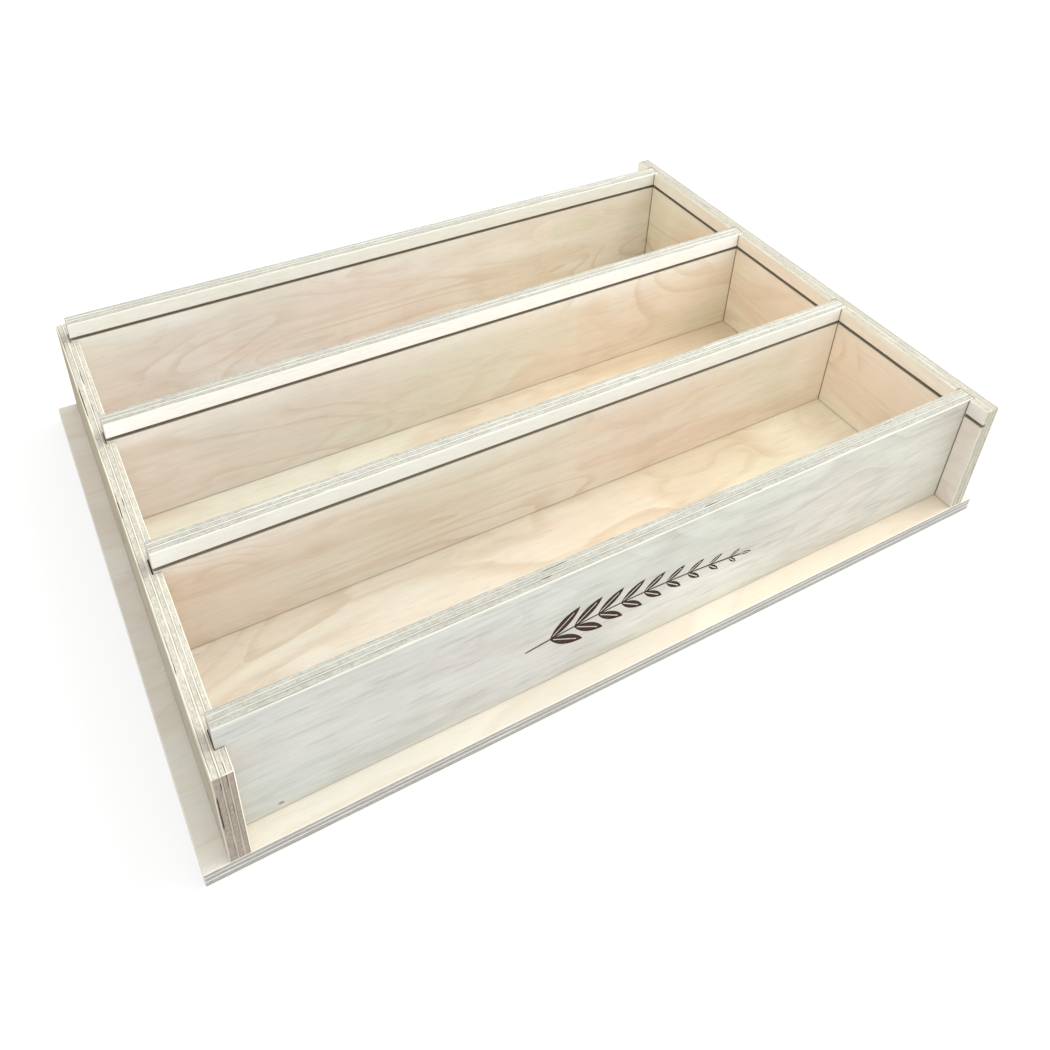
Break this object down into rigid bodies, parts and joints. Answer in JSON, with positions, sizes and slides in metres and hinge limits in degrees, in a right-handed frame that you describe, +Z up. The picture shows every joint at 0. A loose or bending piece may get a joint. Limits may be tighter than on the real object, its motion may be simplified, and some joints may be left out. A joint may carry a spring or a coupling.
{
  "type": "soap loaf mould",
  "caption": "Open plywood mould with parallel loaf compartments between lift-out walls, held in dadoed end boards on a base board, with grooves for sliding lids.",
  "frame": {"origin": "centre of the base board's underside", "axes": "+X along the loaves towards the full-height end board, +Y from the front wall to the back wall, +Z up"},
  "size_m": [0.4608, 0.329, 0.0835],
  "materials": {
    "birch_plywood": "sanded, unfinished",
    "zinc_plated_steel": "satin zinc plate"
  },
  "bodies": {
    "base": {"base_board": "birch_plywood", "left_end_board": "birch_plywood", "right_end_board": "birch_plywood", "left_end_screws": "zinc_plated_steel", "right_end_screws": "zinc_plated_steel"},
    "front_wall": {"front_wall": "birch_plywood"},
    "front_divider": {"front_divider": "birch_plywood"},
    "rear_divider": {"rear_divider": "birch_plywood"},
    "back_wall": {"back_wall": "birch_plywood"}
  },
  "joints": [
    {"name": "front_wall_lift", "type": "slide", "parent": "base", "child": "front_wall", "axis": [0, 0, 1], "range_m": [0, 0.08]},
    {"name": "front_divider_lift", "type": "slide", "parent": "base", "child": "front_divider", "axis": [0, 0, 1], "range_m": [0, 0.08]},
    {"name": "rear_divider_lift", "type": "slide", "parent": "base", "child": "rear_divider", "axis": [0, 0, 1], "range_m": [0, 0.08]},
    {"name": "back_wall_lift", "type": "slide", "parent": "base", "child": "back_wall", "axis": [0, 0, 1], "range_m": [0, 0.08]}
  ]
}
